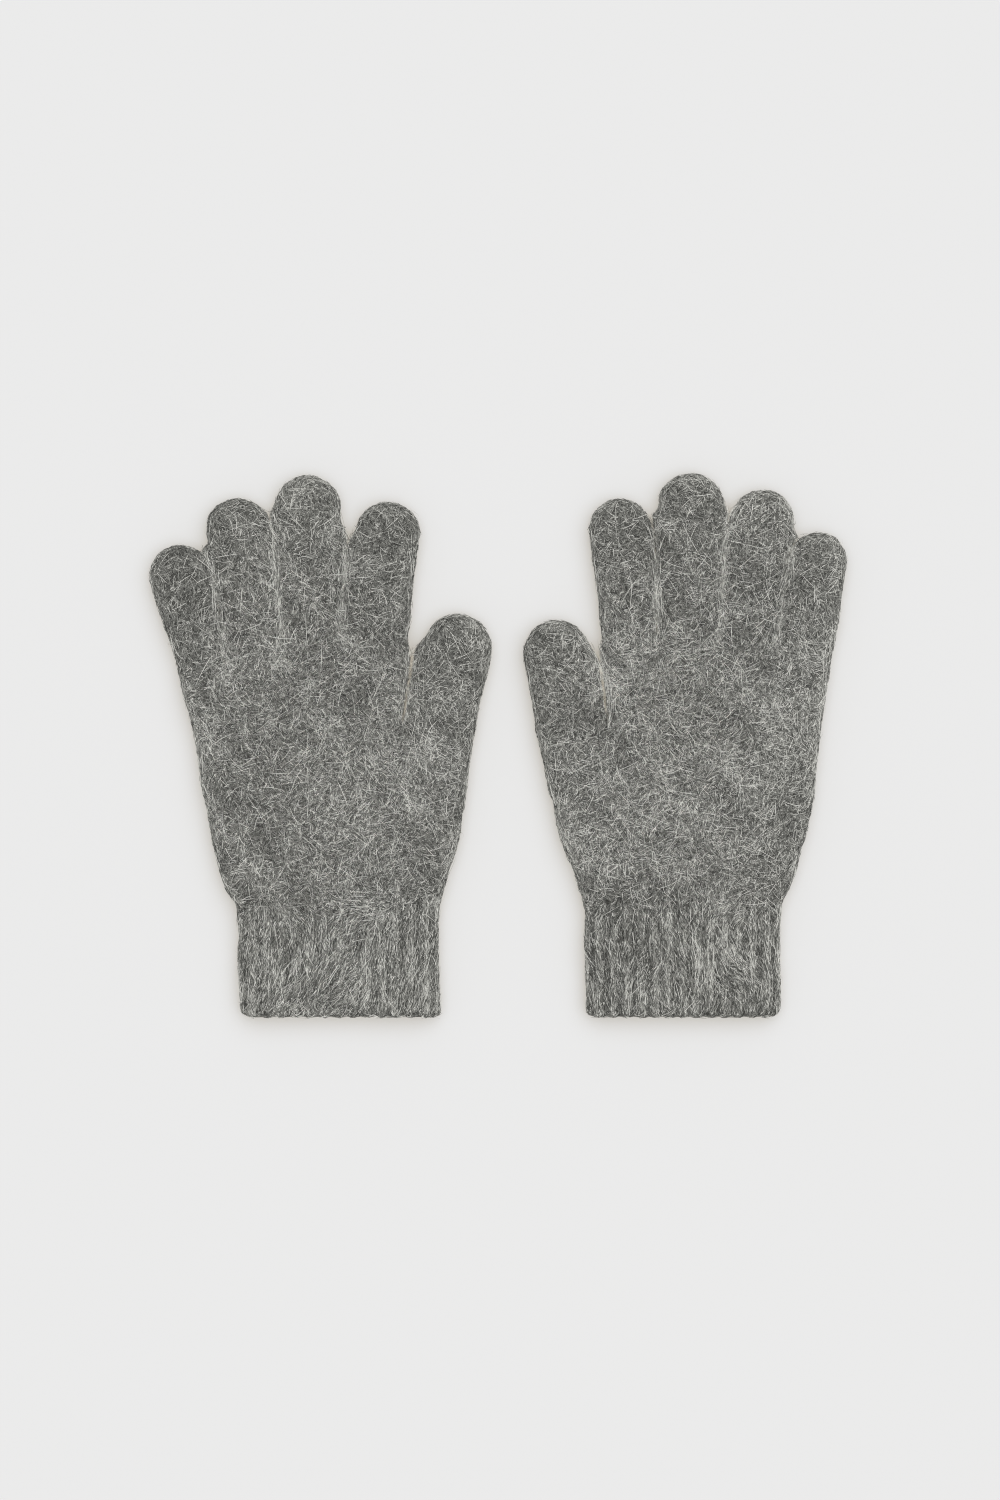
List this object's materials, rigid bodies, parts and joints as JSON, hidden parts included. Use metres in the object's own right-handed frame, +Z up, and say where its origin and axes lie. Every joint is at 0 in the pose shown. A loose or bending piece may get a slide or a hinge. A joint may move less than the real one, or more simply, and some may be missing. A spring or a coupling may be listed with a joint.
{
  "type": "pair of knitted gloves",
  "caption": "Pair of soft brushed-knit gloves with ribbed cuffs, lying flat side by side. The cuffs, thumbs and fingers fold.",
  "frame": {"origin": "on the table, under the middle of the pair", "axes": "+Z up off the table, +Y from the cuffs towards the fingertips, +X from the left glove to the right one"},
  "size_m": [0.3059, 0.24, 0.012],
  "materials": {
    "hand_knit": "brushed, fuzzy wool knit, mottled grey",
    "finger_knit": "brushed, fuzzy wool knit, mottled grey",
    "cuff_rib": "brushed two-by-two rib knit, mottled grey"
  },
  "bodies": {
    "left_hand_body": {"left_hand": "hand_knit"},
    "left_cuff_body": {"left_cuff": "cuff_rib"},
    "left_thumb_base_body": {"left_thumb_base": "finger_knit"},
    "left_thumb_tip_body": {"left_thumb_tip": "finger_knit"},
    "left_index_base_body": {"left_index_base": "finger_knit"},
    "left_index_tip_body": {"left_index_tip": "finger_knit"},
    "left_middle_base_body": {"left_middle_base": "finger_knit"},
    "left_middle_tip_body": {"left_middle_tip": "finger_knit"},
    "left_ring_base_body": {"left_ring_base": "finger_knit"},
    "left_ring_tip_body": {"left_ring_tip": "finger_knit"},
    "left_little_base_body": {"left_little_base": "finger_knit"},
    "left_little_tip_body": {"left_little_tip": "finger_knit"},
    "right_hand_body": {"right_hand": "hand_knit"},
    "right_cuff_body": {"right_cuff": "cuff_rib"},
    "right_thumb_base_body": {"right_thumb_base": "finger_knit"},
    "right_thumb_tip_body": {"right_thumb_tip": "finger_knit"},
    "right_index_base_body": {"right_index_base": "finger_knit"},
    "right_index_tip_body": {"right_index_tip": "finger_knit"},
    "right_middle_base_body": {"right_middle_base": "finger_knit"},
    "right_middle_tip_body": {"right_middle_tip": "finger_knit"},
    "right_ring_base_body": {"right_ring_base": "finger_knit"},
    "right_ring_tip_body": {"right_ring_tip": "finger_knit"},
    "right_little_base_body": {"right_little_base": "finger_knit"},
    "right_little_tip_body": {"right_little_tip": "finger_knit"}
  },
  "joints": [
    {"name": "left_wrist_fold", "type": "hinge", "parent": "left_hand_body", "child": "left_cuff_body", "pos_m": [-0.07075, -0.07, 0.012], "axis": [-1, 0, 0], "range_deg": [0, 90]},
    {"name": "left_thumb_knuckle", "type": "hinge", "parent": "left_hand_body", "child": "left_thumb_base_body", "pos_m": [-0.0255, 0.008, 0.012], "axis": [1, 0, 0], "range_deg": [0, 60]},
    {"name": "left_thumb_bend", "type": "hinge", "parent": "left_thumb_base_body", "child": "left_thumb_tip_body", "pos_m": [-0.0199, 0.033, 0.012], "axis": [1, 0, 0], "range_deg": [0, 80]},
    {"name": "left_index_knuckle", "type": "hinge", "parent": "left_hand_body", "child": "left_index_base_body", "pos_m": [-0.0541, 0.053, 0.012], "axis": [1, 0, 0], "range_deg": [0, 85]},
    {"name": "left_index_bend", "type": "hinge", "parent": "left_index_base_body", "child": "left_index_tip_body", "pos_m": [-0.0505, 0.08, 0.012], "axis": [1, 0, 0], "range_deg": [0, 95]},
    {"name": "left_middle_knuckle", "type": "hinge", "parent": "left_hand_body", "child": "left_middle_base_body", "pos_m": [-0.0826, 0.053, 0.012], "axis": [1, 0, 0], "range_deg": [0, 85]},
    {"name": "left_middle_bend", "type": "hinge", "parent": "left_middle_base_body", "child": "left_middle_tip_body", "pos_m": [-0.0833, 0.085, 0.012], "axis": [1, 0, 0], "range_deg": [0, 95]},
    {"name": "left_ring_knuckle", "type": "hinge", "parent": "left_hand_body", "child": "left_ring_base_body", "pos_m": [-0.1078, 0.049, 0.012], "axis": [1, 0, 0], "range_deg": [0, 85]},
    {"name": "left_ring_bend", "type": "hinge", "parent": "left_ring_base_body", "child": "left_ring_tip_body", "pos_m": [-0.1119, 0.078, 0.012], "axis": [1, 0, 0], "range_deg": [0, 95]},
    {"name": "left_little_knuckle", "type": "hinge", "parent": "left_hand_body", "child": "left_little_base_body", "pos_m": [-0.1328, 0.047, 0.012], "axis": [1, 0, 0], "range_deg": [0, 85]},
    {"name": "left_little_bend", "type": "hinge", "parent": "left_little_base_body", "child": "left_little_tip_body", "pos_m": [-0.1378, 0.067, 0.012], "axis": [1, 0, 0], "range_deg": [0, 95]},
    {"name": "right_glove_lift", "type": "slide", "parent": "left_hand_body", "child": "right_hand_body", "axis": [0, 0, 1], "range_m": [0, 0.15]},
    {"name": "right_wrist_fold", "type": "hinge", "parent": "right_hand_body", "child": "right_cuff_body", "pos_m": [0.08, -0.07, 0.012], "axis": [-1, 0, 0], "range_deg": [0, 90]},
    {"name": "right_thumb_knuckle", "type": "hinge", "parent": "right_hand_body", "child": "right_thumb_base_body", "pos_m": [0.0318, 0.008, 0.012], "axis": [1, 0, 0], "range_deg": [0, 60]},
    {"name": "right_thumb_bend", "type": "hinge", "parent": "right_thumb_base_body", "child": "right_thumb_tip_body", "pos_m": [0.0273, 0.031, 0.012], "axis": [1, 0, 0], "range_deg": [0, 80]},
    {"name": "right_index_knuckle", "type": "hinge", "parent": "right_hand_body", "child": "right_index_base_body", "pos_m": [0.0573, 0.053, 0.012], "axis": [1, 0, 0], "range_deg": [0, 85]},
    {"name": "right_index_bend", "type": "hinge", "parent": "right_index_base_body", "child": "right_index_tip_body", "pos_m": [0.0547, 0.081, 0.012], "axis": [1, 0, 0], "range_deg": [0, 95]},
    {"name": "right_middle_knuckle", "type": "hinge", "parent": "right_hand_body", "child": "right_middle_base_body", "pos_m": [0.0833, 0.053, 0.012], "axis": [1, 0, 0], "range_deg": [0, 85]},
    {"name": "right_middle_bend", "type": "hinge", "parent": "right_middle_base_body", "child": "right_middle_tip_body", "pos_m": [0.0841, 0.086, 0.012], "axis": [1, 0, 0], "range_deg": [0, 95]},
    {"name": "right_ring_knuckle", "type": "hinge", "parent": "right_hand_body", "child": "right_ring_base_body", "pos_m": [0.1097, 0.051, 0.012], "axis": [1, 0, 0], "range_deg": [0, 85]},
    {"name": "right_ring_bend", "type": "hinge", "parent": "right_ring_base_body", "child": "right_ring_tip_body", "pos_m": [0.1135, 0.08, 0.012], "axis": [1, 0, 0], "range_deg": [0, 95]},
    {"name": "right_little_knuckle", "type": "hinge", "parent": "right_hand_body", "child": "right_little_base_body", "pos_m": [0.1358, 0.051, 0.012], "axis": [1, 0, 0], "range_deg": [0, 85]},
    {"name": "right_little_bend", "type": "hinge", "parent": "right_little_base_body", "child": "right_little_tip_body", "pos_m": [0.1388, 0.071, 0.012], "axis": [1, 0, 0], "range_deg": [0, 95]}
  ]
}
